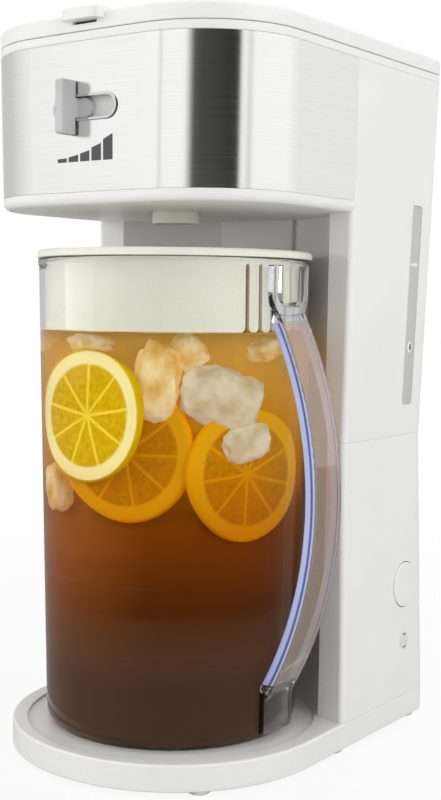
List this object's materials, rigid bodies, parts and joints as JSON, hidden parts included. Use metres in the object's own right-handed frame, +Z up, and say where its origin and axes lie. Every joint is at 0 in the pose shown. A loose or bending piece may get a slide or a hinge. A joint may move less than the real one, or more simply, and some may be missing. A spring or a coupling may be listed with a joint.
{
  "type": "iced tea maker",
  "caption": "Countertop iced tea maker: tapered column with water tank, steel-fronted brew head with strength slider, hinged top lid and clear handled pitcher with strainer lid.",
  "frame": {"origin": "on the table, directly under the pitcher's axis; the bottom cover's flat face lies 2 mm above it on the feet", "axes": "+Z up, -Y towards the front, +X to the right, seen from the front, where the pitcher handle, power button and water window are"},
  "size_m": [0.1832, 0.2154, 0.371],
  "materials": {
    "white_plastic": "satin moulded",
    "steel": "horizontal brushed",
    "chrome": "polished",
    "blue_grey_plastic": "satin moulded",
    "dark_plastic": "matte",
    "clear_plastic": "clear moulded",
    "cream_plastic": "satin moulded",
    "smoke_window": "clear moulded",
    "red_lens": "clear moulded",
    "rubber": "matte",
    "pale_rubber": "satin",
    "hose": "translucent silicone",
    "zinc_steel": "plated",
    "aluminium": "die cast",
    "brass": "plain"
  },
  "bodies": {
    "root": {"base_shell": "white_plastic", "bottom_cover": "white_plastic", "feet": "pale_rubber", "cover_screws": "zinc_steel", "case_screws": "zinc_steel", "lower_housing": "white_plastic", "upper_housing": "white_plastic", "water_window": "smoke_window", "top_deck": "white_plastic", "hinge_pins": "zinc_steel", "steel_band": "steel", "selector_bezel": "chrome", "selector_guide": "dark_plastic", "brew_basket": "cream_plastic", "basket_screen": "steel", "riser_tube": "hose", "riser_grommet": "rubber", "check_valve": "clear_plastic", "inlet_hoses": "hose", "outlet_hose": "hose", "hose_clamps": "zinc_steel", "heater": "aluminium", "heater_straps": "zinc_steel", "strap_screws": "zinc_steel", "thermostat": "zinc_steel", "thermal_fuse": "brass", "button_spring": "zinc_steel", "switch_body": "dark_plastic", "switch_screws": "zinc_steel", "pilot_lens": "red_lens", "pilot_lamp": "clear_plastic"},
    "lid": {"top_lid": "white_plastic", "lid_shower_panel": "white_plastic"},
    "selector": {"strength_knob": "blue_grey_plastic", "slider_shutter": "blue_grey_plastic", "strength_gate": "white_plastic"},
    "button": {"power_button": "white_plastic"},
    "pitcher": {"pitcher_body": "clear_plastic", "pitcher_handle": "blue_grey_plastic"},
    "pitcher_lid": {"pitcher_lid": "cream_plastic"}
  },
  "joints": [
    {"name": "lid_hinge", "type": "hinge", "parent": "root", "child": "lid", "pos_m": [0, 0.12928, 0.365], "axis": [-1, 0, 0], "range_deg": [0, 95]},
    {"name": "strength_slide", "type": "slide", "parent": "root", "child": "selector", "axis": [1, 0, 0], "range_m": [0, 0.015]},
    {"name": "power_button_press", "type": "slide", "parent": "root", "child": "button", "axis": [-1, 0, 0], "range_m": [0, 0.002], "stiffness_N_per_m": 500, "springref_m": -0.003, "deforming": ["button_spring"]},
    {"name": "pitcher_slide", "type": "slide", "parent": "root", "child": "pitcher", "axis": [0, -0.995, 0.0995], "range_m": [0, 0.16]},
    {"name": "pitcher_lid_turn", "type": "hinge", "parent": "pitcher", "child": "pitcher_lid", "pos_m": [0, 0, 0.2558], "axis": [0, 0, 1], "continuous": true}
  ]
}
